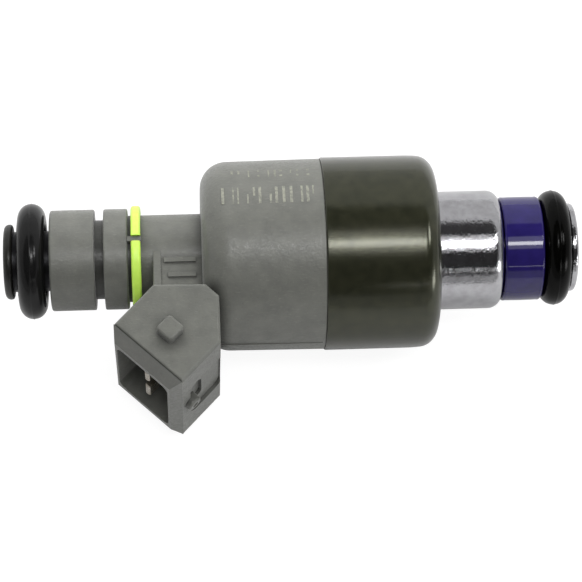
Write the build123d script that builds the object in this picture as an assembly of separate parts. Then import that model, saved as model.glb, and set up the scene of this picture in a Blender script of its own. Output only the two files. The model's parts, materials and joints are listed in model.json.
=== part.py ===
from build123d import *
import math
import os

# Top-feed port fuel injector, in millimetres.
#
# The injector lies along X, with fuel flowing towards +X and out of the nozzle. The origin is
# the centre of the lower seal, on the axis. The electrical socket points to -Y and back
# towards the inlet. The two sides of Z = 0 are alike, but for the colour ring's gap, which
# faces +Z.
#
# A station is the distance along the axis from the nozzle's end face back towards the inlet.
# A reach is the distance from the axis towards the socket's side, along -Y.

# ---- Driving dimensions ----------------------------------------------------------------

LOWER_SEAL = 2.61        # station of the lower seal's centre, which is the origin
SEAL_CORD = 3.53         # diameter of the seals' round section
SEAL_OUTER = 14.7        # outer diameter of both seals

RETAINER_END = 0.84      # tip retainer, stations 0 to here
RETAINER_RADIUS = 5.6
RETAINER_STEP = 0.4      # depth and width of the step in the retainer's bore
LAND_RADIUS = 3.8        # stem that the lower seal sits on
STEM_TIP = 0.15          # station where the stem ends
SPRAY_MOUTH = (0.9, 3.0) # station and radius of the flare where the spray comes out
SPRAY_BORE = 2.6

SPACER_START = 4.4       # spacer ring behind the lower seal
SPACER_END = 9.4
SPACER_RADIUS = 6.6
HUB_RADIUS = 5.2         # nozzle body inside the spacer ring

SHANK_START = 9.45       # the shank that enters the manifold
SHANK_RADIUS = 7.515
SHANK_ROUND = 1.6
PILOT_RADIUS = 8.2       # flange of the shank, let into the housing's end face
PILOT_LENGTH = 0.5

HOUSING_START = 17.8     # magnetic housing round the coil
HOUSING_END = 32.1
HOUSING_RADIUS = 12.25
HOUSING_ROUND = 2.3
HOUSING_TAPER = (3.4, 0.2)     # the front end narrows: over what length, and by how much
HOUSING_FLOOR = 1.15
HOUSING_BORE = 10.6

BODY_END = 47.35         # moulded body, from the housing's end to here
BODY_FRONT_RADIUS = 12.1
BODY_BACK_RADIUS = 11.95
BODY_ROUND = 3.4
NECK_RADIUS = 5.48
PARTING_RIDGE = (0.05, 0.14)   # mould line on the body: how proud, and how wide

COLOUR_RING_START = 54.95
COLOUR_RING_END = 56.15
COLOUR_RING_RADIUS = 6.7
COLOUR_RING_SEAT = 5.3
COLOUR_RING_GAP = 0.8    # width of the split
COLOUR_RIB = (0.65, 0.3) # rib in the split: its width, and how far below the ring's outside

COLLAR_START = 56.58     # collar and sleeve, either side of the rail clip's groove
COLLAR_RADIUS = 6.37
CLIP_GROOVE_START = 59.6
CLIP_GROOVE_END = 60.75
CLIP_GROOVE_RADIUS = 5.0
SLEEVE_END = 66.35

UPPER_SEAL = 68.68       # station of the upper seal's centre
INLET_TUBE_RADIUS = 3.8  # tube under the upper seal
INLET_BORE = 3.0
CAP_START = 71.05        # filter cap at the very end
CAP_END = 72.15
CAP_RADIUS = 4.75

SOCKET_TILT = 46.25      # angle between the socket's axis and the injector's
SOCKET_MOUTH = (54.3, 16.5)    # station and reach of the middle of the mouth's outer edge
SOCKET_HEIGHT = 11.2     # across the socket, in the plane of symmetry
SOCKET_WIDTH = 19.2      # across the socket, along Z
SOCKET_FRONT = 45.45     # station of its front edge, against the body
SOCKET_TOP = 7.5         # reach of the face that looks at the neck
SOCKET_ROUND = 0.4       # along the edges of its two side faces
SOCKET_CORNER = (1.6, 1.6)     # corner cut off at the body's side, along and across the axis
WEB_END = 53.5           # web between the socket and the neck
WEB_HALF = 5.1
WEB_RELIEF = 0.25        # how proud the web's bar and ribs are
WEB_RIBS = ((2.2, 2.8), (4.2, 4.8))   # reaches of the two ribs' edges
RIM_RISE = 1.15          # bevelled rim round the mouth
RIM_BEVEL = (1.1, 2.3)   # bevel's width across the height, and across the width
CAVITY_SIZE = (8.3, 13.0)
CAVITY_DEPTH = 8.0
CAVITY_CORNER = 1.1
NUB_PLACE = (-3.9, -0.1) # locking nub, out of the mouth's outer edge and across
NUB_SIZE = 2.5
NUB_CORNER = 0.45
NUB_HEIGHT = 1.35
KEY_PANEL = (-4.35, 9.4, 5.8, 0.5)    # recess: middle (out), width, length and depth
KEY_POCKET = (-3.1, 5.0, 1.7, 0.95)   # deeper pocket behind the boss, the same way
KEY_BOSS = (-1.5, 1.05, 0.8)          # boss: middle (out), radius and height
BOSS_DIMPLE = 0.5

TERMINAL_PITCH = 5.0
TERMINAL_WIDTH = 2.8
TERMINAL_THICK = 0.8
TERMINAL_REACH = 8.35    # where the terminals run along the body
TERMINAL_START = 30.3
TERMINAL_BEND = 1.6
TERMINAL_TIP = 0.5       # past the mouth's outer edge, still inside the rim
TIP_CHAMFER = 0.22

SEAT_BORE = 4.1          # bore of the nozzle body, round the valve seat
SEAT_START = 4.9
SEAT_END = 7.0
PLATE_THICK = 0.2        # director plate
SPRAY_HOLE = (0.15, 0.45)      # its holes: radius, and distance from the axis
SPRAY_HOLES = 4
SEAT_OUTLET = 0.8        # radius of the hole below the seat's cone
SEAT_GROOVE = (5.45, 6.35, 3.25)   # seal groove: its two stations and its radius
SEAT_SEAL = (3.675, 0.42)      # seat seal: middle radius and section radius
GUIDE_END = 8.4          # ball guide
GUIDE_GAP = 0.03         # round the ball
GUIDE_SLOT = (1.2, 0.9)  # fuel slots in its bore: depth and width
GUIDE_SLOTS = 6
BALL_RADIUS = 2.0
CONE_START = (5.9, 1.1)  # station and radius where the seat's cone begins
CONE_RISE = 0.9          # the cone's radius gained per millimetre
BALL_CLEARANCE = 0.005   # between the ball and the cone when closed

ARMATURE_RADIUS = 4.5
ARMATURE_BORE = 4.56     # bore that the armature slides in
ARMATURE_START = 9.1
ARMATURE_END = 24.0
ARMATURE_NOSE = 1.6
ARMATURE_SHOULDER = (13.4, 13.9)   # cone from the nose up to the full radius
ARMATURE_PASSAGE = (11.5, 1.0)     # fuel passage: station where it ends, and radius
ARMATURE_PORT = (12.4, 0.45)       # cross ports: station and radius
SEAT_STEP = 12.4         # station of the step between the seat's bore and the armature's
SPRING_POCKET = 1.75
POLE_FACE = 24.2         # leaves 0.2 above the closed armature, which lifts 0.15
SPRING_START = 17.0
SPRING_END = 29.0
SPRING_WIRE = 0.22
SPRING_RADIUS = 1.4
SPRING_TURNS = 12
SLEEVE_TOP = 34.0        # adjusting sleeve
SLEEVE_RADII = (1.8, 0.9)

NECK_TUBE = 6.0          # outer radius of the parts inside the bobbin
SPACER_WASHER = (22.0, 22.8)
POLE_SHOULDER = 26.4
POLE_TOP = 38.0
POLE_STEM = 4.5
POLE_FUNNEL = (35.0, 34.4, 2.4)    # bore widens between these stations, to this radius

BOBBIN_START = 19.0
BOBBIN_END = 29.7
BOBBIN_FLANGE = 1.0
BOBBIN_RADIUS = 10.5
BOBBIN_BARREL = 7.2
BOBBIN_GAP = 0.05        # round the tube inside the bobbin, and round the winding
WINDING_RADIUS = 10.0
BOBBIN_SEAL = (6.5, 0.42)   # middle radius and section radius of the bobbin's seals
BOBBIN_POCKET = 0.95        # depth of the seal pockets
WASHER_THICK = 2.35
TOWER_SIZE = (9.2, 2.1)     # bobbin's terminal tower, along Z and in reach
TOWER_END = 32.6

FILTER_RINGS = ((66.9, 67.5, 2.9, 2.0), (59.5, 60.1, 2.7, 1.0))   # stations and radii
FILTER_RIB = (2.5, 0.4, 0.6)       # middle radius, thickness and width
FILTER_RIBS = 4
FILTER_CLOTH = (2.28, 2.18)        # outer and inner radius
CAP_SPIGOT = (67.6, 2.0)           # station where the cap's spigot starts, and its bore
CAP_MOUTH = (71.75, 2.4)           # station and radius of the flare at its end face


# ---- Helpers ---------------------------------------------------------------------------

def x_at(station):
    """X of a station."""
    return LOWER_SEAL - station


def turned(*outline):
    """A solid turned about the axis from (station, radius) corners."""
    corners = [(x_at(station), radius) for station, radius in outline]
    return revolve(make_face(Polyline(*corners, close=True)), Axis.X)


def tube(start, end, outer, inner):
    """A plain tube between two stations."""
    return turned((start, inner), (start, outer), (end, outer), (end, inner))


def rim(solid, station, radius):
    """The round edges of a turned solid at a station and radius."""
    def matches(edge):
        return (abs(edge.radius - radius) < 0.01
                and abs(edge.arc_center.X - x_at(station)) < 0.01
                and math.hypot(edge.arc_center.Y, edge.arc_center.Z) < 0.01)
    return solid.edges().filter_by(GeomType.CIRCLE).filter_by(matches)


def rounded(solid, *rounds):
    """The solid with its rims rounded, from (station, radius, size) entries."""
    for station, radius, size in rounds:
        solid = fillet(rim(solid, station, radius), size)
    return solid


def seal_ring(station, middle, section):
    """An O-ring about the axis."""
    circle = Plane.XY * Location((x_at(station), middle)) * Circle(section)
    return revolve(circle, Axis.X)


def block(stations, reaches, width):
    """A box between two stations and two reaches, centred on Z = 0."""
    size_x = stations[1] - stations[0]
    size_y = reaches[1] - reaches[0]
    middle = (x_at(sum(stations) / 2), -sum(reaches) / 2, 0)
    return Location(middle) * Box(size_x, size_y, width)


def in_plane(*corners):
    """A face in the plane of symmetry from (station, reach) corners."""
    return make_face(Polyline(*[(x_at(s), -r) for s, r in corners], close=True))


# ---- The socket's own directions, in (station, reach) -----------------------------------

OUT = (math.cos(math.radians(SOCKET_TILT)), math.sin(math.radians(SOCKET_TILT)))
ACROSS = (OUT[1], -OUT[0])   # from the nozzle's side of the mouth to the inlet's side


def socket_point(out, across):
    """(station, reach) of a point out of the mouth's outer edge and across from its middle."""
    return (SOCKET_MOUTH[0] + out * OUT[0] + across * ACROSS[0],
            SOCKET_MOUTH[1] + out * OUT[1] + across * ACROSS[1])


def socket_plane(out):
    """A plane across the socket, facing out, with its X across the height."""
    station, reach = socket_point(out, 0)
    return Plane(origin=(x_at(station), -reach, 0),
                 x_dir=(-ACROSS[0], -ACROSS[1], 0),
                 z_dir=(-OUT[0], -OUT[1], 0))


# ---- Nozzle end ------------------------------------------------------------------------

def make_tip_retainer():
    ring = turned((0, LAND_RADIUS + RETAINER_STEP), (0, RETAINER_RADIUS),
                  (RETAINER_END, RETAINER_RADIUS), (RETAINER_END, LAND_RADIUS),
                  (RETAINER_STEP, LAND_RADIUS))
    return rounded(ring, (0, RETAINER_RADIUS, 0.4), (RETAINER_END, RETAINER_RADIUS, 0.2))


def make_spacer_ring():
    ring = tube(SPACER_START, SPACER_END, SPACER_RADIUS, HUB_RADIUS)
    return rounded(ring, (SPACER_START, SPACER_RADIUS, 0.5), (SPACER_END, SPACER_RADIUS, 0.5))


def make_nozzle_body():
    """The bright tube: stem, hub, shank, pilot flange, and the tube inside the bobbin."""
    plate_start = SEAT_START - PLATE_THICK
    pilot_end = HOUSING_START + PILOT_LENGTH
    body = turned((STEM_TIP, SPRAY_MOUTH[1]), (STEM_TIP, LAND_RADIUS),
                  (SPACER_START, LAND_RADIUS), (SPACER_START, HUB_RADIUS),
                  (SHANK_START, HUB_RADIUS), (SHANK_START, SHANK_RADIUS),
                  (HOUSING_START, SHANK_RADIUS), (HOUSING_START, PILOT_RADIUS),
                  (pilot_end, PILOT_RADIUS), (pilot_end, NECK_TUBE),
                  (SPACER_WASHER[0], NECK_TUBE), (SPACER_WASHER[0], ARMATURE_BORE),
                  (SEAT_STEP, ARMATURE_BORE), (SEAT_STEP, SEAT_BORE), (plate_start, SEAT_BORE),
                  (plate_start, SPRAY_BORE), (SPRAY_MOUTH[0], SPRAY_BORE))
    return rounded(body, (SHANK_START, SHANK_RADIUS, SHANK_ROUND))


def make_director_plate():
    """A thin disc with four fine spray holes."""
    plate = turned((SEAT_START - PLATE_THICK, 0), (SEAT_START - PLATE_THICK, SEAT_BORE),
                   (SEAT_START, SEAT_BORE), (SEAT_START, 0))
    across = Location((x_at(SEAT_START), SPRAY_HOLE[1], 0), (0, 90, 0))
    hole = across * Cylinder(SPRAY_HOLE[0], 4 * PLATE_THICK)
    for turn in range(SPRAY_HOLES):
        plate -= hole.rotate(Axis.X, 45 + 360 / SPRAY_HOLES * turn)
    return plate


def cone_radius(station):
    return CONE_START[1] + CONE_RISE * (station - CONE_START[0])


def make_valve_seat():
    """The seat: an outlet hole, the cone that the ball closes, and a groove for its seal."""
    groove_start, groove_end, groove_radius = SEAT_GROOVE
    step = CONE_START[0] - 0.5
    return turned((SEAT_START, SEAT_OUTLET), (step, SEAT_OUTLET), (step, CONE_START[1]),
                  CONE_START, (SEAT_END, cone_radius(SEAT_END)), (SEAT_END, SEAT_BORE),
                  (groove_end, SEAT_BORE), (groove_end, groove_radius),
                  (groove_start, groove_radius), (groove_start, SEAT_BORE),
                  (SEAT_START, SEAT_BORE))


def make_seat_seal():
    return seal_ring((SEAT_GROOVE[0] + SEAT_GROOVE[1]) / 2, *SEAT_SEAL)


def make_ball_guide():
    """A ring that centres the ball, with fuel slots round its bore."""
    guide = tube(SEAT_END, GUIDE_END, SEAT_BORE, BALL_RADIUS + GUIDE_GAP)
    middle = (x_at((SEAT_END + GUIDE_END) / 2), BALL_RADIUS + 0.4, 0)
    slot = Location(middle) * Box(GUIDE_END - SEAT_END + 1, *GUIDE_SLOT)
    for turn in range(GUIDE_SLOTS):
        guide -= slot.rotate(Axis.X, 360 / GUIDE_SLOTS * turn)
    return guide


def ball_station():
    """Where the ball's centre is when it just rests on the seat's cone."""
    slant = math.hypot(1, CONE_RISE)
    cone_point = CONE_START[0] - CONE_START[1] / CONE_RISE
    return cone_point + BALL_RADIUS * slant / CONE_RISE + BALL_CLEARANCE


def make_ball_valve():
    return Location((x_at(ball_station()), 0, 0)) * Sphere(BALL_RADIUS)


# ---- Armature, spring and magnetic circuit ----------------------------------------------

def make_armature():
    """The moving core: a nose welded to the ball, a spring pocket, and cross ports for fuel."""
    passage_end, passage_radius = ARMATURE_PASSAGE
    core = turned((ARMATURE_START, 0), (ARMATURE_START, ARMATURE_NOSE),
                  (ARMATURE_SHOULDER[0], ARMATURE_NOSE), (ARMATURE_SHOULDER[1], ARMATURE_RADIUS),
                  (ARMATURE_END, ARMATURE_RADIUS), (ARMATURE_END, SPRING_POCKET),
                  (SPRING_START, SPRING_POCKET), (SPRING_START, passage_radius),
                  (passage_end, passage_radius), (passage_end, 0))
    core -= make_ball_valve()
    port = Location((x_at(ARMATURE_PORT[0]), 0, 0)) * Cylinder(ARMATURE_PORT[1], 4 * ARMATURE_NOSE)
    for turn in range(2):
        core -= port.rotate(Axis.X, 90 * turn)
    return core


def make_return_spring():
    """Closed coil spring between the armature's pocket and the adjusting sleeve."""
    height = SPRING_END - SPRING_START - 2 * SPRING_WIRE
    start = Location((x_at(SPRING_START + SPRING_WIRE), 0, 0), (0, -90, 0))
    path = start * Helix(height / SPRING_TURNS, height, SPRING_RADIUS)
    section = Plane(origin=path @ 0, z_dir=path % 0) * Circle(SPRING_WIRE)
    return sweep(section, path=path, is_frenet=True)


def make_adjusting_sleeve():
    return tube(SPRING_END, SLEEVE_TOP, *SLEEVE_RADII)


def make_lift_spacer():
    return tube(*SPACER_WASHER, NECK_TUBE, ARMATURE_BORE)


def make_nonmagnetic_ring():
    return tube(SPACER_WASHER[1], POLE_SHOULDER, NECK_TUBE, ARMATURE_BORE)


def make_pole_piece():
    """The fixed core: its face stops the armature, and its stem holds the inlet tube."""
    bore = SLEEVE_RADII[0]
    funnel_top, funnel_foot, funnel_radius = POLE_FUNNEL
    return turned((POLE_FACE, bore), (POLE_FACE, ARMATURE_BORE), (POLE_SHOULDER, ARMATURE_BORE),
                  (POLE_SHOULDER, NECK_TUBE), (HOUSING_END, NECK_TUBE), (HOUSING_END, POLE_STEM),
                  (POLE_TOP, POLE_STEM), (POLE_TOP, funnel_radius), (funnel_top, funnel_radius),
                  (funnel_foot, bore))


def make_solenoid_housing():
    """The magnetic cup round the coil, with a shallow seat for the shank's flange."""
    floor = HOUSING_START + HOUSING_FLOOR
    pilot_end = HOUSING_START + PILOT_LENGTH
    taper_length, taper_depth = HOUSING_TAPER
    front_radius = HOUSING_RADIUS - taper_depth
    cup = turned((HOUSING_START, PILOT_RADIUS), (HOUSING_START, front_radius),
                 (HOUSING_START + taper_length, HOUSING_RADIUS), (HOUSING_END, HOUSING_RADIUS),
                 (HOUSING_END, HOUSING_BORE), (floor, HOUSING_BORE), (floor, NECK_TUBE),
                 (pilot_end, NECK_TUBE), (pilot_end, PILOT_RADIUS))
    return rounded(cup, (HOUSING_START, front_radius, HOUSING_ROUND),
                   (HOUSING_END, HOUSING_RADIUS, 0.15))


def terminal_tower(clearance):
    """The block on the bobbin that holds the terminals, grown by a clearance."""
    half = TOWER_SIZE[1] / 2 + clearance
    return block((BOBBIN_END - 0.5, TOWER_END), (TERMINAL_REACH - half, TERMINAL_REACH + half),
                 TOWER_SIZE[0] + 2 * clearance)


def make_flux_washer():
    washer = tube(HOUSING_END - WASHER_THICK, HOUSING_END, HOUSING_BORE, NECK_TUBE)
    return washer - terminal_tower(0.1)


def make_coil_bobbin(terminals):
    """A spool with a seal pocket at each end of its bore, and the tower for the terminals."""
    bore = NECK_TUBE + BOBBIN_GAP
    pocket_radius = BOBBIN_SEAL[0] + BOBBIN_SEAL[1] + 0.03
    front_pocket = BOBBIN_START + BOBBIN_POCKET
    back_pocket = BOBBIN_END - BOBBIN_POCKET
    spool = turned((BOBBIN_START, pocket_radius), (BOBBIN_START, BOBBIN_RADIUS),
                   (BOBBIN_START + BOBBIN_FLANGE, BOBBIN_RADIUS),
                   (BOBBIN_START + BOBBIN_FLANGE, BOBBIN_BARREL),
                   (BOBBIN_END - BOBBIN_FLANGE, BOBBIN_BARREL),
                   (BOBBIN_END - BOBBIN_FLANGE, BOBBIN_RADIUS), (BOBBIN_END, BOBBIN_RADIUS),
                   (BOBBIN_END, pocket_radius), (back_pocket, pocket_radius), (back_pocket, bore),
                   (front_pocket, bore), (front_pocket, pocket_radius))
    spool += terminal_tower(0)
    for terminal in terminals:
        spool -= terminal
    return spool


def make_coil_winding():
    inset = BOBBIN_FLANGE + BOBBIN_GAP
    return tube(BOBBIN_START + inset, BOBBIN_END - inset, WINDING_RADIUS,
                BOBBIN_BARREL + BOBBIN_GAP)


def make_terminal(side):
    """A flat blade: along the body, then bent out along the socket's axis."""
    bend = (SOCKET_MOUTH[1] - TERMINAL_REACH) / OUT[1]
    route = [(TERMINAL_START, TERMINAL_REACH), socket_point(-bend, 0),
             socket_point(TERMINAL_TIP, 0)]
    path = FilletPolyline(*[(x_at(s), -r) for s, r in route], radius=TERMINAL_BEND)
    start = Plane(origin=path @ 0, x_dir=(0, 0, 1), z_dir=path % 0)
    blade = sweep(start * Rectangle(TERMINAL_WIDTH, TERMINAL_THICK), path=path)
    tip = blade.edges().group_by(Axis((0, 0, 0), (-OUT[0], -OUT[1], 0)))[-1]
    blade = chamfer(tip, TIP_CHAMFER)
    return Location((0, 0, side * TERMINAL_PITCH / 2)) * blade


# ---- Inlet end -------------------------------------------------------------------------

TUBE_RADIUS = 4.2        # inlet tube inside the moulded body
TUBE_OUTLINE = [(33.0, POLE_STEM), (33.0, 5.2), (39.0, 5.2), (40.0, TUBE_RADIUS)]


def make_inlet_tube():
    """The fuel tube, socketed over the pole piece and stepped down under the upper seal."""
    return turned(*TUBE_OUTLINE, (SLEEVE_END, TUBE_RADIUS), (SLEEVE_END, INLET_TUBE_RADIUS),
                  (CAP_START, INLET_TUBE_RADIUS), (CAP_START, INLET_BORE),
                  (POLE_TOP, INLET_BORE), (POLE_TOP, POLE_STEM))


def tube_core():
    """The space that the pole piece and the inlet tube fill inside the moulded body."""
    return turned((HOUSING_END, 0), (HOUSING_END, POLE_STEM), *TUBE_OUTLINE,
                  (SLEEVE_END, TUBE_RADIUS), (SLEEVE_END, 0))


def make_filter_frame():
    """The filter's cage: two end rings and four ribs."""
    top_ring, foot_ring = FILTER_RINGS
    cage = tube(*top_ring) + tube(*foot_ring)
    middle_radius, thickness, width = FILTER_RIB
    middle = (top_ring[0] + foot_ring[1]) / 2
    length = top_ring[0] - foot_ring[1] + 0.2
    rib = Location((x_at(middle), middle_radius, 0)) * Box(length, thickness, width)
    for turn in range(FILTER_RIBS):
        cage += rib.rotate(Axis.X, 360 / FILTER_RIBS * turn)
    return cage


def make_filter_mesh():
    return tube(FILTER_RINGS[1][1], FILTER_RINGS[0][0], *FILTER_CLOTH)


def make_inlet_cap():
    """The cap that holds the filter: a rounded disc with a spigot inside the tube."""
    start, bore = CAP_SPIGOT
    flare, mouth = CAP_MOUTH
    cap = turned((start, bore), (start, INLET_BORE), (CAP_START, INLET_BORE),
                 (CAP_START, CAP_RADIUS), (CAP_END, CAP_RADIUS), (CAP_END, mouth), (flare, bore))
    return rounded(cap, (CAP_END, CAP_RADIUS, 0.65), (CAP_START, CAP_RADIUS, 0.35))


def make_colour_ring():
    """A split ring snapped round the neck; its gap straddles a moulded rib."""
    ring = tube(COLOUR_RING_START, COLOUR_RING_END, COLOUR_RING_RADIUS, COLOUR_RING_SEAT)
    ring = rounded(ring, (COLOUR_RING_START, COLOUR_RING_RADIUS, 0.35),
                   (COLOUR_RING_END, COLOUR_RING_RADIUS, 0.35))
    middle = (x_at((COLOUR_RING_START + COLOUR_RING_END) / 2), 0, COLOUR_RING_RADIUS)
    return ring - Location(middle) * Box(3, COLOUR_RING_GAP, COLOUR_RING_RADIUS)


# ---- Moulded body with the electrical socket ---------------------------------------------

def socket_outline():
    """Corners of the socket's side face, from the neck round to the mouth."""
    half = SOCKET_HEIGHT / 2
    front_run = (socket_point(0, -half)[0] - SOCKET_FRONT) / OUT[0]
    back_run = (socket_point(0, half)[1] - SOCKET_TOP) / OUT[1]
    cut_along, cut_across = SOCKET_CORNER
    return [socket_point(-back_run, half), (SOCKET_FRONT + cut_along, SOCKET_TOP + 0.1),
            (SOCKET_FRONT, SOCKET_TOP + 0.1 + cut_across), socket_point(-front_run, -half),
            socket_point(0, -half), socket_point(0, half)]


def make_socket_block():
    """The outside of the socket, with its bevelled rim."""
    shell = extrude(in_plane(*socket_outline()), SOCKET_WIDTH / 2, both=True)
    outline_edges = shell.edges().filter_by(Plane.XY)
    shell = fillet(outline_edges, SOCKET_ROUND)
    rim_shell = loft([socket_plane(0) * Rectangle(SOCKET_HEIGHT, SOCKET_WIDTH),
                      socket_plane(RIM_RISE) * Rectangle(SOCKET_HEIGHT - 2 * RIM_BEVEL[0],
                                                         SOCKET_WIDTH - 2 * RIM_BEVEL[1])])
    return shell + rim_shell


def make_neck_web():
    """The flat-sided web between the neck and the socket, with a bar and two plain ribs."""
    web = block((BODY_END - 1, WEB_END), (0.6, SOCKET_TOP + 1), 2 * WEB_HALF)
    upright = web.edges().filter_by(Axis.Y)
    web = fillet(upright.group_by(Axis.X)[0], 0.4)
    thick = 0.9
    for side in (-1, 1):
        raised = Location((0, 0, side * (WEB_HALF + WEB_RELIEF - thick / 2)))
        web += raised * block((WEB_END - 1.0, WEB_END - 0.1), (1.2, SOCKET_TOP + 1), thick)
        for row, reaches in enumerate(WEB_RIBS):
            rib = block((BODY_END + 0.8, WEB_END - 1.4 - 0.5 * row), reaches, thick)
            web += raised * rib
    return web


def make_socket_cavity():
    size = RectangleRounded(CAVITY_SIZE[0], CAVITY_SIZE[1], CAVITY_CORNER)
    return extrude(socket_plane(RIM_RISE) * size, -CAVITY_DEPTH)


def make_locking_nub(side):
    """The square nub on one side of the socket that holds the plug's wire clip."""
    station, reach = socket_point(*NUB_PLACE)
    face = Plane(origin=(x_at(station), -reach, side * SOCKET_WIDTH / 2),
                 x_dir=(-OUT[0], -OUT[1], 0), z_dir=(0, 0, side))
    outline = face * RectangleRounded(NUB_SIZE, NUB_SIZE, NUB_CORNER)
    nub = extrude(outline, NUB_HEIGHT)
    top = nub.faces().sort_by(Axis.Z)[-1 if side > 0 else 0]
    return fillet(top.edges(), 0.3) + extrude(outline, -0.5)


def front_face_plane(out):
    """A plane on the socket's face towards the nozzle, facing away from it."""
    station, reach = socket_point(out, -SOCKET_HEIGHT / 2)
    return Plane(origin=(x_at(station), -reach, 0), x_dir=(0, 0, 1),
                 z_dir=(ACROSS[0], ACROSS[1], 0))


def make_keying_recess():
    """A shallow panel in the face towards the nozzle, with a deeper pocket behind the boss."""
    cuts = []
    for middle, width, length, depth in (KEY_PANEL, KEY_POCKET):
        shape = RectangleRounded(width, length, min(1.4, length / 2 - 0.05))
        cuts.append(extrude(front_face_plane(middle) * shape, -depth))
    return cuts[0] + cuts[1]


def make_keying_boss():
    """The small round boss with a dimple, proud of the face, at the mouth's end."""
    middle, radius, height = KEY_BOSS
    boss = extrude(front_face_plane(middle) * Circle(radius), height)
    boss += extrude(front_face_plane(middle) * Circle(radius), -0.6)
    outer_edge = boss.edges().sort_by(Axis((0, 0, 0), (ACROSS[0], ACROSS[1], 0)))[-1]
    dimple = front_face_plane(middle) * Location((0, 0, height + 0.2)) * Sphere(BOSS_DIMPLE)
    return fillet(outer_edge, 0.3) - dimple


def make_body_outline():
    """The moulded body without its socket, as a solid bar."""
    body = turned((HOUSING_END, 0), (HOUSING_END, BODY_FRONT_RADIUS),
                  (BODY_END, BODY_BACK_RADIUS), (BODY_END, NECK_RADIUS),
                  (COLOUR_RING_START, NECK_RADIUS), (COLOUR_RING_START, COLOUR_RING_SEAT),
                  (COLOUR_RING_END, COLOUR_RING_SEAT), (COLOUR_RING_END, NECK_RADIUS),
                  (COLLAR_START, NECK_RADIUS), (COLLAR_START, COLLAR_RADIUS),
                  (CLIP_GROOVE_START, COLLAR_RADIUS), (CLIP_GROOVE_START, CLIP_GROOVE_RADIUS),
                  (CLIP_GROOVE_END, CLIP_GROOVE_RADIUS), (CLIP_GROOVE_END, COLLAR_RADIUS),
                  (SLEEVE_END, COLLAR_RADIUS), (SLEEVE_END, 0))
    return rounded(body, (BODY_END, BODY_BACK_RADIUS, BODY_ROUND),
                   (HOUSING_END, BODY_FRONT_RADIUS, 0.15), (COLLAR_START, COLLAR_RADIUS, 0.25),
                   (CLIP_GROOVE_START, COLLAR_RADIUS, 0.2), (CLIP_GROOVE_END, COLLAR_RADIUS, 0.2),
                   (SLEEVE_END, COLLAR_RADIUS, 0.3))


def make_colour_rib():
    """The short rib that fills the colour ring's gap and runs on to the collar."""
    width, below = COLOUR_RIB
    low = COLOUR_RING_SEAT - 0.5
    high = COLOUR_RING_RADIUS - below
    middle = (x_at((COLOUR_RING_START + COLLAR_START) / 2), 0, (low + high) / 2)
    return Location(middle) * Box(COLLAR_START - COLOUR_RING_START + 0.1, width, high - low)


def make_overmould_body(terminals):
    body = make_body_outline() + make_socket_block() + make_neck_web()
    proud, wide = PARTING_RIDGE
    body += block((HOUSING_END + 0.4, SOCKET_FRONT), (11, BODY_FRONT_RADIUS + proud), wide)
    body += make_colour_rib()
    body -= make_socket_cavity()
    body -= make_keying_recess()
    body += make_keying_boss()
    for side in (-1, 1):
        body += make_locking_nub(side)
    body -= terminal_tower(0)
    for terminal in terminals:
        body -= terminal
    return body - tube_core()


# ---- Assembly --------------------------------------------------------------------------

def make_injector():
    terminals = [make_terminal(side) for side in (1, -1)]
    seal_middle = (SEAL_OUTER - SEAL_CORD) / 2
    return {
        "tip_retainer": make_tip_retainer(),
        "lower_o_ring": seal_ring(LOWER_SEAL, seal_middle, SEAL_CORD / 2),
        "spacer_ring": make_spacer_ring(),
        "nozzle_body": make_nozzle_body(),
        "director_plate": make_director_plate(),
        "valve_seat": make_valve_seat(),
        "seat_seal": make_seat_seal(),
        "ball_guide": make_ball_guide(),
        "ball_valve": make_ball_valve(),
        "armature": make_armature(),
        "return_spring": make_return_spring(),
        "adjusting_sleeve": make_adjusting_sleeve(),
        "lift_spacer": make_lift_spacer(),
        "nonmagnetic_ring": make_nonmagnetic_ring(),
        "pole_piece": make_pole_piece(),
        "solenoid_housing": make_solenoid_housing(),
        "flux_washer": make_flux_washer(),
        "coil_bobbin": make_coil_bobbin(terminals),
        "coil_winding": make_coil_winding(),
        "bobbin_front_seal": seal_ring(BOBBIN_START + 0.475, *BOBBIN_SEAL),
        "bobbin_back_seal": seal_ring(BOBBIN_END - 0.475, *BOBBIN_SEAL),
        "terminal_near": terminals[0],
        "terminal_far": terminals[1],
        "overmould_body": make_overmould_body(terminals),
        "colour_ring": make_colour_ring(),
        "inlet_tube": make_inlet_tube(),
        "filter_frame": make_filter_frame(),
        "filter_mesh": make_filter_mesh(),
        "inlet_cap": make_inlet_cap(),
        "upper_o_ring": seal_ring(UPPER_SEAL, seal_middle, SEAL_CORD / 2),
    }


os.makedirs("parts", exist_ok=True)
for name, solid in make_injector().items():
    export_step(solid, f"parts/{name}.step")
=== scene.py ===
import json
import math
import random

import bmesh
import bpy
from mathutils import Matrix, Vector


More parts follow.
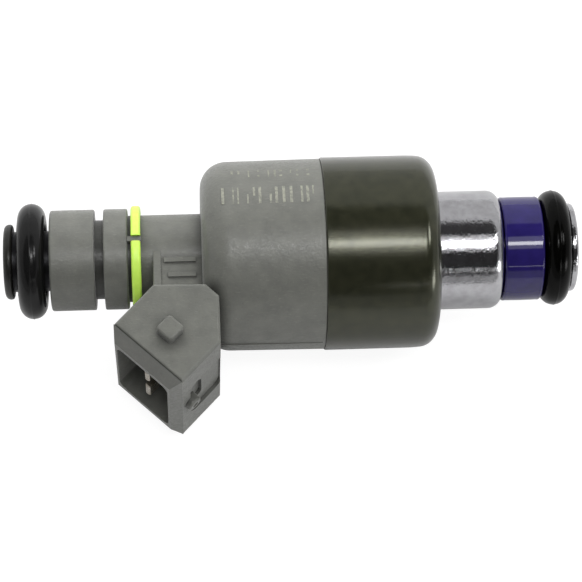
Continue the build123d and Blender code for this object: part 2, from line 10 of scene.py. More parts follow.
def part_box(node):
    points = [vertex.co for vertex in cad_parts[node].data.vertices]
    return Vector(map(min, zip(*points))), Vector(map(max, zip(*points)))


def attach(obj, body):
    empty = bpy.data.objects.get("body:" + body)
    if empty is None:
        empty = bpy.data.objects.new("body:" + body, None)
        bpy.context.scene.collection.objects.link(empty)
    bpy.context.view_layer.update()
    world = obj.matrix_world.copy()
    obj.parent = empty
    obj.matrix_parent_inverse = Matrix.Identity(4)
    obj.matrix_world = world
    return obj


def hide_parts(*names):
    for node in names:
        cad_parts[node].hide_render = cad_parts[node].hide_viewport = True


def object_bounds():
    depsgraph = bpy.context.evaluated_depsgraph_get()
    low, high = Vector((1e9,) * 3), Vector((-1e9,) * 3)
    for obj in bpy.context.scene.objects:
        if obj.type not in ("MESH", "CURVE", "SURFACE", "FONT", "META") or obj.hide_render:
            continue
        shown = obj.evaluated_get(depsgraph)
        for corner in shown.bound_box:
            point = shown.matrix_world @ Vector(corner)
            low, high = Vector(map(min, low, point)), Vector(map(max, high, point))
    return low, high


# Looks of the fuel injector, in metres in the CAD's frame. The injector lies along X with its
# nozzle at +X, and its socket points to -Y and back towards the inlet.

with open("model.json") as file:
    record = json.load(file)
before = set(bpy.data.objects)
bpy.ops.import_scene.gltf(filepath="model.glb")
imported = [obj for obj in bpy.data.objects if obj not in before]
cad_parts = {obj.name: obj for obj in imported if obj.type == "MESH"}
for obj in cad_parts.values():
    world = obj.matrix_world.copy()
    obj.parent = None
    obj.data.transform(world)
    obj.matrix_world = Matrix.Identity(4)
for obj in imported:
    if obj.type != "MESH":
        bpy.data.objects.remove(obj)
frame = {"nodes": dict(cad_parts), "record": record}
CAD_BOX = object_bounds()
BODY = "injector_body"
MM = 0.001
SOCKET_X = -42.5         # millimetres: the socket is behind this, on the -Y side; painted shade darkens the socket a little
GROOVES_X = -53.4        # millimetres: the clip groove and its neighbour are behind this; painted shade darkens their floors
STEM_RADIUS = 3.8 * MM   # the nozzle's stem, which the lower seal sits on
HUB_RADIUS = 5.2 * MM    # the nozzle's hub, which the spacer sits on
PILOT_RADIUS = 8.2 * MM  # the nozzle's flange, which centres it in the housing
PILOT_DEPTH = 0.5 * MM
SHARP_EDGE = math.radians(32)
NOISE_LOW = 0.3          # most of a noise texture lies between these two
NOISE_HIGH = 0.7
MIX_FIRST = 6            # the colour inputs and the colour output of a mix node
MIX_SECOND = 7
MIX_RESULT = 2


# ---- Materials ---------------------------------------------------------------------------

class Finish:
    """A material under construction: its nodes, and short ways to add and join more."""

    def __init__(self, name, **values):
        self.material = bpy.data.materials.new(name)
        self.material.use_nodes = True
        self.tree = self.material.node_tree
        self.surface = self.tree.nodes["Principled BSDF"]
        self.place = self.tree.nodes.new("ShaderNodeTexCoord").outputs["Object"]
        for key, value in values.items():
            self.surface.inputs[key.replace("_", " ")].default_value = value

    def node(self, kind, **inputs):
        made = self.tree.nodes.new(kind)
        for key, value in inputs.items():
            self.put(made.inputs[key.replace("_", " ")], value)
        return made

    def put(self, socket, value):
        if isinstance(value, bpy.types.NodeSocket):
            self.tree.links.new(value, socket)
        else:
            socket.default_value = value

    def millimetres(self, stretch=(1, 1, 1)):
        """Object coordinates in millimetres, squeezed by the stretch along each axis."""
        scale = [1 / MM / s for s in stretch]
        return self.node("ShaderNodeMapping", Vector=self.place, Scale=scale).outputs["Vector"]

    def noise(self, per_mm, detail, stretch=(1, 1, 1)):
        return self.node("ShaderNodeTexNoise", Vector=self.millimetres(stretch), Scale=per_mm,
                         Detail=detail).outputs["Fac"]

    def span(self, value, low, high, to_low, to_high):
        """The value, moved from the range low to high into the range to_low to to_high."""
        ranged = self.node("ShaderNodeMapRange", Value=value)
        ends = {"From Min": low, "From Max": high, "To Min": to_low, "To Max": to_high}
        for key, end in ends.items():
            ranged.inputs[key].default_value = end
        return ranged.outputs["Result"]

    def spread(self, noise, low, high):
        """The noise, with its usual range moved into the range low to high."""
        return self.span(noise, NOISE_LOW, NOISE_HIGH, low, high)

    def mottle(self, noise, first, second):
        """A colour that wanders between the two with the noise."""
        return self.blend(self.spread(noise, 0, 1), first, second)

    def blend(self, share, first, second):
        mix = self.node("ShaderNodeMix")
        mix.data_type = "RGBA"
        self.put(mix.inputs["Factor"], share)
        self.put(mix.inputs[MIX_FIRST], first)
        self.put(mix.inputs[MIX_SECOND], second)
        return mix.outputs[MIX_RESULT]

    def axes(self):
        """Object coordinates in millimetres, one by one."""
        split = self.node("ShaderNodeSeparateXYZ", Vector=self.millimetres())
        return split.outputs["X"], split.outputs["Y"], split.outputs["Z"]

    def product(self, first, second):
        scaled = self.node("ShaderNodeMath")
        scaled.operation = "MULTIPLY"
        self.put(scaled.inputs[0], first)
        self.put(scaled.inputs[1], second)
        return scaled.outputs[0]

    def radius(self, first, second):
        """The length of the two coordinates taken together."""
        pair = self.node("ShaderNodeCombineXYZ", X=first, Y=second)
        size = self.node("ShaderNodeVectorMath")
        size.operation = "LENGTH"
        self.put(size.inputs[0], pair.outputs["Vector"])
        return size.outputs["Value"]

    def bump(self, *layers):
        """Bump from (height, depth in mm) layers, each on top of the last."""
        normal = None
        for height, depth in layers:
            bump = self.node("ShaderNodeBump", Height=height, Distance=depth * MM)
            if normal:
                self.put(bump.inputs["Normal"], normal)
            normal = bump.outputs["Normal"]
        self.put(self.surface.inputs["Normal"], normal)

    def paint(self, **inputs):
        for key, value in inputs.items():
            self.put(self.surface.inputs[key.replace("_", " ")], value)


def rgb(red, green, blue):
    """A linear colour from 0-255 display values."""
    def linear(value):
        value /= 255
        return value / 12.92 if value <= 0.04045 else ((value + 0.055) / 1.055) ** 2.4
    return (linear(red), linear(green), linear(blue), 1)


def darker(colour, share):
    return [channel * share for channel in colour[:3]] + [1]


def nylon():
    """Grey nylon with short glass fibres: mottled, with paler specks and a soft sheen. Painted
    shade darkens its creases, the floors of the clip grooves and, a little, the socket.
    """
    f = Finish("glass_filled_nylon", Sheen_Weight=0.18, Sheen_Roughness=0.4)
    cloud = f.noise(0.55, 4)
    grain = f.noise(3.2, 3)
    fibre = f.noise(5.0, 2, stretch=(3.5, 1, 1))
    colour = f.mottle(cloud, rgb(97, 98, 93), rgb(107, 108, 102))
    colour = f.blend(f.span(fibre, 0.58, 0.76, 0, 0.3), colour, rgb(134, 135, 127))
    colour = f.blend(f.span(grain, 0.38, 0.2, 0, 0.4), colour, rgb(72, 73, 68))
    along, out, up = f.axes()
    # Painted shade: the socket, out past -7 mm towards -Y, is darkened a little towards near-black
    socket = f.product(f.span(along, SOCKET_X, SOCKET_X - 0.6, 0, 1),
                       f.span(out, -7.0, -8.4, 0, 0.08))
    colour = f.blend(socket, colour, rgb(20, 20, 18))
    # Painted shade: the floors of the clip groove and its neighbour, inside a radius of 5.95 mm,
    # are darkened towards near-black
    groove_painted_shade = f.product(f.span(along, GROOVES_X, GROOVES_X - 0.1, 0, 1),
                        f.span(f.radius(out, up), 5.95, 5.6, 0, 0.5))
    colour = f.blend(groove_painted_shade, colour, rgb(14, 14, 13))
    # Painted shade: ambient occlusion darkens the nylon's creases towards near-black
    crease_painted_shade = f.node("ShaderNodeAmbientOcclusion", Distance=1.6 * MM)
    crease_painted_shade.samples = 4
    colour = f.blend(f.span(crease_painted_shade.outputs["AO"], 0.35, 0.95, 0.6, 0), colour, rgb(16, 16, 15))
    f.paint(Base_Color=colour, Roughness=f.spread(grain, 0.28, 0.5))
    f.bump((f.noise(1.4, 3), 0.025), (grain, 0.018), (fibre, 0.01))
    return f.material


def olive_coat():
    """Steel under a dark olive chromate coat, drawn and then tumbled."""
    f = Finish("olive_chromate", Metallic=0.6, Coat_Weight=0.45, Coat_Roughness=0.16)
    cloud = f.noise(0.8, 4)
    drawn = f.noise(1.6, 3, stretch=(14, 1, 1))
    grain = f.noise(6.0, 2)
    colour = f.mottle(cloud, rgb(48, 50, 36), rgb(61, 62, 46))
    f.paint(Base_Color=colour, Roughness=f.spread(grain, 0.14, 0.23))
    f.bump((drawn, 0.008), (f.noise(7.0, 2, stretch=(2, 1, 1)), 0.012))
    return f.material


def chrome_steel():
    """Bright turned steel: fine rings round the axis, a few soft stains."""
    f = Finish("turned_steel", Metallic=1.0)
    rings = f.noise(3.5, 4, stretch=(1, 400, 400))
    scuffs = f.noise(2.8, 2, stretch=(0.4, 1, 1))
    stain = f.noise(0.9, 4)
    colour = f.blend(f.span(stain, 0.35, 0.7, 0, 1), rgb(192, 192, 195), rgb(176, 175, 178))
    f.paint(Base_Color=colour, Roughness=f.spread(stain, 0.04, 0.1))
    f.bump((rings, 0.015), (scuffs, 0.03))
    return f.material


def rubber(name, dark, light, low, high, gloss):
    """Black fluoro rubber: satin, with a fine moulded skin."""
    f = Finish(name, Specular_IOR_Level=gloss)
    skin = f.noise(4.0, 3)
    colour = f.mottle(f.noise(0.7, 3), dark, light)
    f.paint(Base_Color=colour, Roughness=f.spread(skin, low, high))
    f.bump((skin, 0.006), (f.noise(0.9, 2), 0.01))
    return f.material


def spacer_plastic():
    """Glossy indigo moulding."""
    f = Finish("indigo_plastic", Specular_IOR_Level=0.6)
    cloud = f.noise(0.6, 2)
    colour = f.mottle(cloud, rgb(28, 21, 78), rgb(34, 26, 88))
    f.paint(Base_Color=colour, Roughness=f.spread(f.noise(3, 2), 0.05, 0.09))
    f.bump((f.noise(1.2, 2), 0.003))
    return f.material


def lime_plastic():
    """Bright lime moulding, slightly translucent."""
    f = Finish("lime_plastic", Subsurface_Weight=0.1, Subsurface_Scale=0.6 * MM)
    cloud = f.noise(0.9, 3)
    colour = f.mottle(cloud, rgb(200, 244, 92), rgb(212, 251, 106))
    f.paint(Base_Color=colour, Roughness=f.spread(f.noise(4, 2), 0.32, 0.45))
    f.bump((f.noise(3, 3), 0.006))
    return f.material


def cap_plastic():
    """Near-black olive moulding."""
    f = Finish("cap_plastic")
    cloud = f.noise(0.8, 3)
    colour = f.mottle(cloud, rgb(21, 21, 19), rgb(30, 30, 26))
    f.paint(Base_Color=colour, Roughness=f.spread(f.noise(4, 2), 0.3, 0.45))
    f.bump((f.noise(3, 3), 0.008))
    return f.material


def tinned_blade():
    """Tin-plated bronze blade, brushed along its length."""
    f = Finish("tinned_blade", Metallic=1.0)
    brushed = f.noise(5.0, 3, stretch=(6, 6, 1))
    colour = f.mottle(f.noise(1.1, 3), rgb(205, 200, 190), rgb(186, 178, 163))
    f.paint(Base_Color=colour, Roughness=f.spread(brushed, 0.22, 0.38))
    f.bump((brushed, 0.004))
    return f.material


def plain_metal(name, colour, rough):
    """Steel inside the injector, ground or turned."""
    f = Finish(name, Metallic=1.0)
    worn = f.mottle(f.noise(1.0, 3), colour, darker(colour, 0.82))
    f.paint(Base_Color=worn, Roughness=f.spread(f.noise(3, 3), rough * 0.8, rough * 1.25))
    f.bump((f.noise(3.0, 3, stretch=(1, 60, 60)), 0.003))
    return f.material


def plain_plastic(name, colour, rough):
    """Moulded plastic inside the injector."""
    f = Finish(name)
    mottled = f.mottle(f.noise(1.2, 3), colour, darker(colour, 0.8))
    f.paint(Base_Color=mottled, Roughness=f.spread(f.noise(4, 2), rough * 0.8, rough * 1.2))
    f.bump((f.noise(3, 3), 0.006))
    return f.material


def enamelled_copper():
    """Layers of enamelled wire, as fine ridges round the axis."""
    f = Finish("enamelled_copper", Metallic=0.8, Roughness=0.3)
    wave = f.node("ShaderNodeTexWave", Vector=f.millimetres(), Scale=1.6, Distortion=0.15)
    turns = wave.outputs["Fac"]
    f.paint(Base_Color=f.blend(turns, rgb(120, 52, 24), rgb(198, 112, 60)))
    f.bump((turns, 0.05))
    return f.material


def woven_mesh():
    """Fine woven filter cloth."""
    f = Finish("filter_cloth", Roughness=0.6)
    weave = f.node("ShaderNodeTexChecker", Vector=f.millimetres(), Scale=9.0).outputs["Fac"]
    f.paint(Base_Color=f.blend(weave, rgb(196, 192, 176), rgb(150, 146, 132)))
    f.bump((weave, 0.02))
    return f.material


def pale_ink():
    """Worn pale ink on the nylon."""
    f = Finish("pale_ink", Roughness=0.55)
    wear = f.span(f.noise(2.5, 4), 0.35, 0.6, 0, 1)
    f.paint(Base_Color=f.blend(wear, rgb(112, 113, 105), rgb(142, 143, 130)))
    f.bump((f.noise(3.2, 3), 0.012))
    return f.material


NYLON = nylon()
PALE_INK = pale_ink()
OLIVE = olive_coat()
CHROME = chrome_steel()
BLACK_RUBBER = rubber("glossy_rubber", rgb(1, 1, 1), rgb(4, 4, 3), 0.12, 0.2, 0.11)
GREY_RUBBER = rubber("satin_rubber", rgb(15, 15, 15), rgb(21, 21, 21), 0.15, 0.22, 0.27)
INDIGO = spacer_plastic()
LIME = lime_plastic()
CAP = cap_plastic()
BLADE = tinned_blade()
STEEL = plain_metal("inner_steel", rgb(176, 177, 180), 0.3)
# Dark steel colour for the inlet tube, which shows only in the narrow gaps beside the upper seal
# and the cap; it makes those gaps dark
DARK_STEEL = plain_metal("dark_inlet_steel", rgb(58, 58, 60), 0.42)
HARD_STEEL = plain_metal("hardened_steel", rgb(208, 209, 212), 0.14)
SPRING_STEEL = plain_metal("spring_steel", rgb(150, 148, 146), 0.3)
BOBBIN = plain_plastic("bobbin_nylon", rgb(46, 45, 42), 0.45)
FILTER = plain_plastic("filter_plastic", rgb(205, 200, 184), 0.5)
COPPER = enamelled_copper()
CLOTH = woven_mesh()

NODE_FINISH = {
    "overmould_body": NYLON, "solenoid_housing": OLIVE, "nozzle_body": CHROME,
    "tip_retainer": CHROME, "lower_o_ring": BLACK_RUBBER, "upper_o_ring": GREY_RUBBER,
    "bobbin_front_seal": GREY_RUBBER, "bobbin_back_seal": GREY_RUBBER, "seat_seal": GREY_RUBBER,
    "spacer_ring": INDIGO, "colour_ring": LIME, "inlet_cap": CAP, "terminal_near": BLADE,
    "terminal_far": BLADE, "director_plate": STEEL, "valve_seat": HARD_STEEL,
    "ball_guide": HARD_STEEL, "ball_valve": HARD_STEEL, "armature": STEEL,
    "return_spring": SPRING_STEEL, "adjusting_sleeve": STEEL, "lift_spacer": STEEL,
    "nonmagnetic_ring": STEEL, "pole_piece": STEEL, "flux_washer": STEEL,
    "coil_bobbin": BOBBIN, "coil_winding": COPPER, "inlet_tube": DARK_STEEL,
    "filter_frame": FILTER, "filter_mesh": CLOTH,
}


def dress(thing, material):
    thing.data.materials.clear()
    thing.data.materials.append(material)


for name, node in frame["nodes"].items():
    dress(node, NODE_FINISH[name])


# ---- Turned pieces -----------------------------------------------------------------------

def round_corner(before, corner, after, size, steps=8):
    """Points of an arc that rounds a corner of an outline."""
    corner = Vector(corner)
    back = (Vector(before) - corner).normalized()
    ahead = (Vector(after) - corner).normalized()
    half = back.angle(ahead) / 2
    reach = size / math.tan(half)
    centre = corner + (back + ahead).normalized() * (size / math.sin(half))
    start = corner + back * reach - centre
    turn = start.angle_signed(corner + ahead * reach - centre)
    points = []
    for step in range(steps + 1):
        points.append(centre + Matrix.Rotation(-turn * step / steps, 2) @ start)
    return points


def outline(*corners):
    """A closed outline from (x, radius, rounding) corners, all in metres."""
    points = []
    for index, (x, radius, size) in enumerate(corners):
        before = corners[index - 1][:2]
        after = corners[(index + 1) % len(corners)][:2]
        if size:
            points += round_corner(before, (x, radius), after, size)
        else:
            points.append(Vector((x, radius)))
    return points


def add_piece(name, vertices, faces, material):
    """A closed mesh that rides on the injector's body."""
    mesh = bpy.data.meshes.new(name)
    mesh.from_pydata(vertices, [], faces)
    mesh.validate()
    piece = bpy.data.objects.new(name, mesh)
    bpy.context.scene.collection.objects.link(piece)
    outward(mesh)
    smooth(mesh)
    dress(piece, material)
    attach(piece, BODY)
    return piece


def lathe(name, points, material, replaced, slices=240):
    """A closed mesh from an outline turned about X, in place of a CAD node."""
    vertices = []
    for column in range(slices):
        angle = math.tau * column / slices
        for x, radius in points:
            vertices.append((x, radius * math.cos(angle), radius * math.sin(angle)))
    size = len(points)
    faces = []
    for column in range(slices):
        left = column * size
        right = (column + 1) % slices * size
        for row in range(size):
            up = (row + 1) % size
            faces.append((left + row, left + up, right + up, right + row))
    piece = add_piece(name, vertices, faces, material)
    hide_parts(replaced)


def outward(mesh):
    """Turns the faces outwards."""
    work = bmesh.new()
    work.from_mesh(mesh)
    bmesh.ops.recalc_face_normals(work, faces=work.faces)
    work.to_mesh(mesh)
    work.free()


def smooth(mesh):
    """Shades the faces smoothly, except across edges sharper than SHARP_EDGE."""
    mesh.polygons.foreach_set("use_smooth", [True] * len(mesh.polygons))
    mesh.set_sharp_from_angle(angle=SHARP_EDGE)


def spans(node):
    """(lowest x, highest x, outer radius) of a turned CAD node."""
    low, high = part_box(node)
    return low.x, high.x, high.z


def make_seal(node):
    """An O-ring with the fine flash line that its mould leaves round the outside."""
    low, high, outer = spans(node)
    section = (high - low) / 2
    middle = Vector(((low + high) / 2, outer - section))
    flash_height = 0.05 * MM
    flash_half = math.radians(3.2)
    count = 96
    points = []
    for step in range(count):
        angle = math.tau * step / count
        from_outside = abs((angle - math.pi / 2 + math.pi) % math.tau - math.pi)
        rise = max(0.0, 1 - from_outside / flash_half)
        radius = section - flash_height + flash_height * rise
        points.append(middle + Vector((math.cos(angle), math.sin(angle))) * radius)
    lathe(node + "_moulded", points, NODE_FINISH[node], node)


def turned_marks(start, end, radius):
    """Outline points of a turned surface, with the fine rings that the tool leaves in it."""
    draw = random.Random(7)
    step = 0.035 * MM
    count = int((start - end) / step)
    heights = [0.0] * (count + 1)
    place = start - 0.5 * MM
    while place > end + 0.4 * MM:
        width = draw.uniform(0.1, 0.22) * MM
        depth = draw.choice((0.001, 0.003, 0.006, 0.012)) * MM
        for index in range(count + 1):
            offset = abs(start - index * step - place) / width
            if offset < 1:
                heights[index] -= depth * (0.5 + 0.5 * math.cos(math.pi * offset))
        place -= width + draw.uniform(0.08, 0.5) * MM
    return [Vector((start - index * step, radius + height)) for index, height in enumerate(heights)]


def make_nozzle():
    """The bright nozzle tube: stem, hub, rounded shank with its turning marks, and bore."""
    back_end, tip, _ = spans("nozzle_body")
    spacer_back, hub_front, _ = spans("spacer_ring")
    face = spans("solenoid_housing")[1]
    plate_front = spans("director_plate")[1]
    seat_back = spans("ball_guide")[0]
    seat_bore = spans("valve_seat")[2]
    guide_bore = spans("armature")[2] + 0.06 * MM
    tube_radius = spans("pole_piece")[2]
    shank = next(m for m in frame["record"]["mounts"] if m["name"] == "nozzle_shank")
    radius = shank["dims"]["r_mm"] * MM
    shank_front = spacer_back - 0.05 * MM
    shank_round = 1.6 * MM
    edge = 0.2 * MM
    mouth = 3.0 * MM
    mouth_depth = 0.75 * MM
    spray_bore = 2.6 * MM
    pilot_back = face - PILOT_DEPTH
    seat_step = seat_back - 4.0 * MM
    front = outline((tip, mouth, 0), (tip, STEM_RADIUS, edge), (hub_front, STEM_RADIUS, 0),
                    (hub_front, HUB_RADIUS, edge), (shank_front, HUB_RADIUS, 0),
                    (shank_front, radius, shank_round), (shank_front - 2 * shank_round, radius, 0))
    marks = turned_marks(shank_front - shank_round - 0.05 * MM, face + 0.1 * MM, radius)
    back = outline((face, radius, 0), (face, PILOT_RADIUS, 0), (pilot_back, PILOT_RADIUS, 0),
                   (pilot_back, tube_radius, 0), (back_end, tube_radius, 0),
                   (back_end, guide_bore, 0), (seat_step, guide_bore, 0),
                   (seat_step, seat_bore, 0), (plate_front, seat_bore, 0),
                   (plate_front, spray_bore, 0), (tip - mouth_depth, spray_bore, 0))
    lathe("nozzle_turned", front[:-1] + marks + back, CHROME, "nozzle_body")


def make_housing():
    """The coil's metal cup: drawn, tapering a little, with a soft bead at its rounded shoulder."""
    rim, face, radius = spans("solenoid_housing")
    bore = spans("coil_bobbin")[2] + 0.1 * MM
    tube_radius = spans("pole_piece")[2]
    shoulder_round = 2.3 * MM
    shoulder_steps = 24
    taper_length = 3.4 * MM
    taper_depth = 0.2 * MM
    taper_steps = 24
    bead_height = 0.015 * MM
    rim_round = 0.18 * MM
    pilot_back = face - PILOT_DEPTH
    floor = face - 1.15 * MM
    taper_end = Vector((face - taper_length, radius))
    points = [Vector((face, PILOT_RADIUS))]
    points += round_corner((face, PILOT_RADIUS), (face, radius - taper_depth), taper_end,
                           shoulder_round, shoulder_steps)
    bead = points[-1]
    for step in range(1, taper_steps + 1):
        share = step / taper_steps
        rise = bead_height * math.sin(math.pi * share) ** 2 if share < 0.5 else 0
        points.append(bead + (taper_end - bead) * share + Vector((0, rise)))
    points += round_corner((face, radius), (rim, radius), (rim, bore), rim_round, 5)
    points += [Vector(p) for p in ((rim, bore), (floor, bore), (floor, tube_radius),
                                   (pilot_back, tube_radius), (pilot_back, PILOT_RADIUS))]
    lathe("housing_drawn", points, OLIVE, "solenoid_housing", slices=320)


def make_spacer():
    """The glossy ring behind the lower seal, very slightly crowned."""
    back, front, radius = spans("spacer_ring")
    edge = 0.35 * MM
    crown_height = 0.03 * MM
    crown_steps = 24
    points = round_corner((front, HUB_RADIUS), (front, radius), (back, radius), edge)
    for step in range(1, crown_steps):
        share = step / crown_steps
        place = front - edge + (back - front + 2 * edge) * share
        points.append(Vector((place, radius - crown_height * (2 * share - 1) ** 2)))
    points += round_corner((front, radius), (back, radius), (back, HUB_RADIUS), edge)
    points += [Vector((back, HUB_RADIUS)), Vector((front, HUB_RADIUS))]
    lathe("spacer_crowned", points, INDIGO, "spacer_ring")


# The two rows of marks: first and last x, then the lowest and highest angle round the axis.
PRINT_ROWS = ((-40.9 * MM, -31.0 * MM, 51.5, 59.0), (-42.2 * MM, -30.4 * MM, 68.5, 81.0))
PRINT_FRONT_RADIUS = 12.1 * MM   # the moulded body at its front end, under the marks
PRINT_TAPER = 0.0098             # how much that radius shrinks for each metre further back
INK_ABOVE = 0.012 * MM
INK_BELOW = -0.03 * MM
STROKES = {"bar": ((0, 1),), "upper": ((0.45, 1),), "lower": ((0, 0.55),),
           "dots": ((0, 0.25), (0.75, 1))}


def add_stroke(vertices, faces, left, width, start, sweep):
    """One upright stroke of ink, a thin closed strip that follows the body round its axis."""
    front = spans("solenoid_housing")[0]
    first = len(vertices)
    slices = 8
    for index in range(slices + 1):
        angle = math.radians(start + sweep * index / slices)
        for x, rise in ((left, INK_ABOVE), (left + width, INK_ABOVE),
                        (left + width, INK_BELOW), (left, INK_BELOW)):
            radius = PRINT_FRONT_RADIUS + rise - (front - x) * PRINT_TAPER
            vertices.append((x, radius * math.cos(angle), radius * math.sin(angle)))
    for index in range(slices):
        here = first + 4 * index
        for side in range(4):
            ahead = (side + 1) % 4
            faces.append((here + side, here + ahead, here + 4 + ahead, here + 4 + side))
    faces.append(tuple(first + side for side in range(4)))
    faces.append(tuple(first + 4 * slices + side for side in (3, 2, 1, 0)))


def make_print():
    """Two worn rows of pale tally marks on the moulded body: bars and dots, no writing."""
    draw = random.Random(11)
    vertices = []
    faces = []
    for start, end, low, high in PRINT_ROWS:
        place = start
        while place < end:
            width = draw.choice((0.2, 0.28, 0.36)) * MM
            kind = draw.choice(("bar", "bar", "bar", "upper", "lower", "dots"))
            for bottom, top in STROKES[kind]:
                add_stroke(vertices, faces, place, width, low + (high - low) * bottom,
                           (high - low) * (top - bottom))
            place += width + draw.choice((0.4, 0.55, 1.0)) * MM
    add_piece("tally_marks", vertices, faces, PALE_INK)


make_seal("lower_o_ring")
make_seal("upper_o_ring")
make_nozzle()
make_housing()
make_spacer()
make_print()


# ---- Stage, lights and camera ------------------------------------------------------------

MIDDLE = (CAD_BOX[0] + CAD_BOX[1]) / 2
FLOOR_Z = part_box("solenoid_housing")[0].z
FLOOR_HALF = 3.0
CAMERA_ELEVATION = math.radians(67.689)
CAMERA_YAW = math.radians(2.72)
CAMERA_ROLL = math.radians(-1.585)
CAMERA_DISTANCE = 0.298555
CAMERA_LENS = 145.2      # millimetres, on a sensor 36 mm wide
TARGET_X = -0.033489     # what the camera looks at: a place on the axis,
TARGET_UP = -0.004632    # then this far towards the top of the view
CEILING_LEAN = 20.5      # degrees from straight up, towards -Y
CEILING_INSIDE = 52      # degrees from its middle: fully dark up to here,
CEILING_OUTSIDE = 57     # and no longer dark beyond this
CEILING_SHADE = 0.1
WALL_FRONT = 0.42        # brightness towards -Y and towards +Y,
WALL_BACK = 0.68
WALL_SPAN = (-0.5, 0.6)  # between these parts of the way to +Y

# Each light: its name, tilt in degrees, distance and length in metres, spread in degrees,
# radiance, shift in metres, and whether polished surfaces mirror it.
LAMPS = (
    ("overhead_strip", 10.5, 0.6, 0.3, 7.5, 10.5, 0.07, True),
    ("overhead_halo", 12, 0.62, 0.34, 27, 1.2, 0.06, True),
    ("side_window", 21, 0.6, 0.12, 18, 10.0, 0.45, True),
    ("corner_lamp", -52, 0.32, 0.16, 24, 6.0, 0.5, True),
    ("front_strip", -41, 0.6, 0.4, 0.9, 5.0, 0.25, True),
    ("back_fill", 78, 0.8, 1.0, 34, 4.0, 0.0, False),
    ("top_fill", 15, 0.8, 1.0, 60, 0.85, 0.0, False),
    ("front_fill", -78, 0.8, 1.0, 30, 2.0, 0.4, False),
)


def camera_only(tree, seen, felt):
    """One shader for what the camera sees of the stage, another for what lights the object."""
    path = tree.nodes.new("ShaderNodeLightPath")
    mix = tree.nodes.new("ShaderNodeMixShader")
    tree.links.new(path.outputs["Is Camera Ray"], mix.inputs[0])
    tree.links.new(felt.outputs[0], mix.inputs[1])
    tree.links.new(seen, mix.inputs[2])
    return mix.outputs[0]


def make_floor():
    """A white sheet of paper on a grey table, which hardly lights the object from below."""
    mesh = bpy.data.meshes.new("floor")
    corners = [(FLOOR_HALF * x, FLOOR_HALF * y, 0) for x, y in ((-1, -1), (1, -1), (1, 1), (-1, 1))]
    mesh.from_pydata(corners, [], [(0, 1, 2, 3)])
    floor = bpy.data.objects.new("floor", mesh)
    floor.location = (0, 0, FLOOR_Z)
    bpy.context.scene.collection.objects.link(floor)
    material = bpy.data.materials.new("floor_white")
    material.use_nodes = True
    tree = material.node_tree
    paper = tree.nodes["Principled BSDF"]
    paper.inputs["Base Color"].default_value = (0.2, 0.2, 0.2, 1)
    paper.inputs["Roughness"].default_value = 0.9
    paper.inputs["Specular IOR Level"].default_value = 0.0
    paper.inputs["Emission Color"].default_value = (1, 1, 1, 1)
    paper.inputs["Emission Strength"].default_value = 0.9
    grey = tree.nodes.new("ShaderNodeBsdfDiffuse")
    grey.inputs["Color"].default_value = (0.64, 0.64, 0.64, 1)
    both = camera_only(tree, paper.outputs[0], grey)
    tree.links.new(both, tree.nodes["Material Output"].inputs["Surface"])
    floor.data.materials.append(material)


def make_lamp(name, tilt, distance, length, spread, radiance, shift, mirrored):
    """A light above the object, with one side along X, moved along X by the shift. Its tilt is
    measured from the camera's direction towards +Y, and spread is the angle that it spans."""
    light = bpy.data.lights.new(name, "AREA")
    light.shape = "RECTANGLE"
    light.size = length
    light.size_y = 2 * distance * math.tan(math.radians(spread / 2))
    light.energy = radiance * light.size * light.size_y * math.pi
    lamp = bpy.data.objects.new(name, light)
    angle = CAMERA_ELEVATION + math.radians(tilt)
    away = Vector((0, -math.cos(angle), math.sin(angle))) * distance + Vector((shift, 0, 0))
    direction = away.normalized()
    side = (Vector((1, 0, 0)) - direction * direction.x).normalized()
    lamp.matrix_world = Matrix((side, direction.cross(side), direction)).transposed().to_4x4()
    lamp.matrix_world.translation = MIDDLE + away
    lamp.visible_glossy = mirrored
    bpy.context.scene.collection.objects.link(lamp)


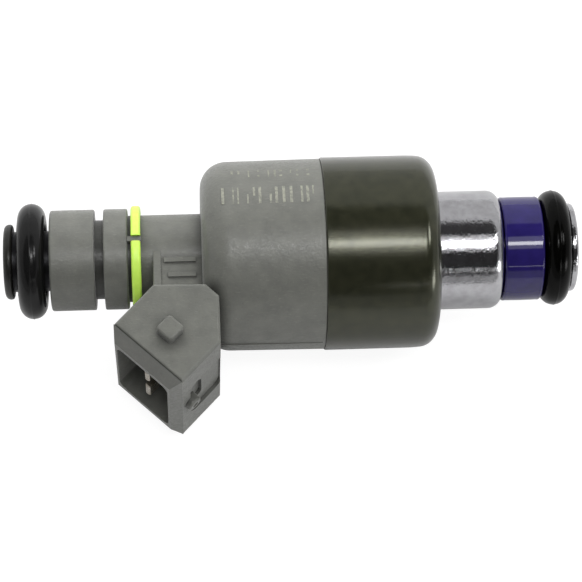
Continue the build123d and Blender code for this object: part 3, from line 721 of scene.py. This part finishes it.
def make_world():
    """Grey surroundings, lighter behind the object, with a dark ceiling round the light."""
    world = bpy.data.worlds.new("studio")
    world.use_nodes = True
    tree = world.node_tree
    surround = tree.nodes["Background"]
    place = tree.nodes.new("ShaderNodeTexCoord").outputs["Generated"]

    def along(direction, low, high, to_low, to_high):
        dot = tree.nodes.new("ShaderNodeVectorMath")
        dot.operation = "DOT_PRODUCT"
        dot.inputs[1].default_value = direction
        tree.links.new(place, dot.inputs[0])
        ramp = tree.nodes.new("ShaderNodeMapRange")
        ramp.interpolation_type = "SMOOTHSTEP"
        ends = {"From Min": low, "From Max": high, "To Min": to_low, "To Max": to_high}
        for key, value in ends.items():
            ramp.inputs[key].default_value = value
        tree.links.new(dot.outputs["Value"], ramp.inputs["Value"])
        return ramp.outputs["Result"]

    lean = math.radians(CEILING_LEAN)
    ceiling = along((0, -math.sin(lean), math.cos(lean)),
                    math.cos(math.radians(CEILING_OUTSIDE)),
                    math.cos(math.radians(CEILING_INSIDE)), 1, CEILING_SHADE)
    walls = along((0, 1, 0), *WALL_SPAN, WALL_FRONT, WALL_BACK)
    strength = tree.nodes.new("ShaderNodeMath")
    strength.operation = "MULTIPLY"
    tree.links.new(ceiling, strength.inputs[0])
    tree.links.new(walls, strength.inputs[1])
    tree.links.new(strength.outputs[0], surround.inputs["Strength"])
    surround.inputs["Color"].default_value = (1, 1, 1, 1)
    white = tree.nodes.new("ShaderNodeBackground")
    white.inputs["Strength"].default_value = 1.0
    both = camera_only(tree, white.outputs[0], surround)
    tree.links.new(both, tree.nodes["World Output"].inputs["Surface"])
    bpy.context.scene.world = world


def make_camera():
    """The camera's place and turn: above and a little to the inlet's side, nearly level."""
    ahead = Vector((0, math.cos(CAMERA_ELEVATION), -math.sin(CAMERA_ELEVATION)))
    right = Vector((1, 0, 0))
    up = right.cross(ahead)
    forward = ahead * math.cos(CAMERA_YAW) + right * math.sin(CAMERA_YAW)
    side = right * math.cos(CAMERA_YAW) - ahead * math.sin(CAMERA_YAW)
    turned_side = side * math.cos(CAMERA_ROLL) + up * math.sin(CAMERA_ROLL)
    turned_up = up * math.cos(CAMERA_ROLL) - side * math.sin(CAMERA_ROLL)
    target = Vector((TARGET_X, 0, 0)) + up * TARGET_UP
    camera = bpy.data.objects.new("camera", bpy.data.cameras.new("camera"))
    camera.data.lens = CAMERA_LENS
    camera.data.sensor_width = 36
    camera.data.clip_start = 0.01
    camera.data.clip_end = 20
    camera.matrix_world = Matrix((turned_side, turned_up, -forward)).transposed().to_4x4()
    camera.matrix_world.translation = target - forward * CAMERA_DISTANCE
    bpy.context.scene.collection.objects.link(camera)
    bpy.context.scene.camera = camera


make_floor()
make_world()
for lamp_values in LAMPS:
    make_lamp(*lamp_values)
make_camera()

scene = bpy.context.scene
scene.view_settings.view_transform = "Standard"
scene.view_settings.look = "None"
scene.view_settings.exposure = 0.0
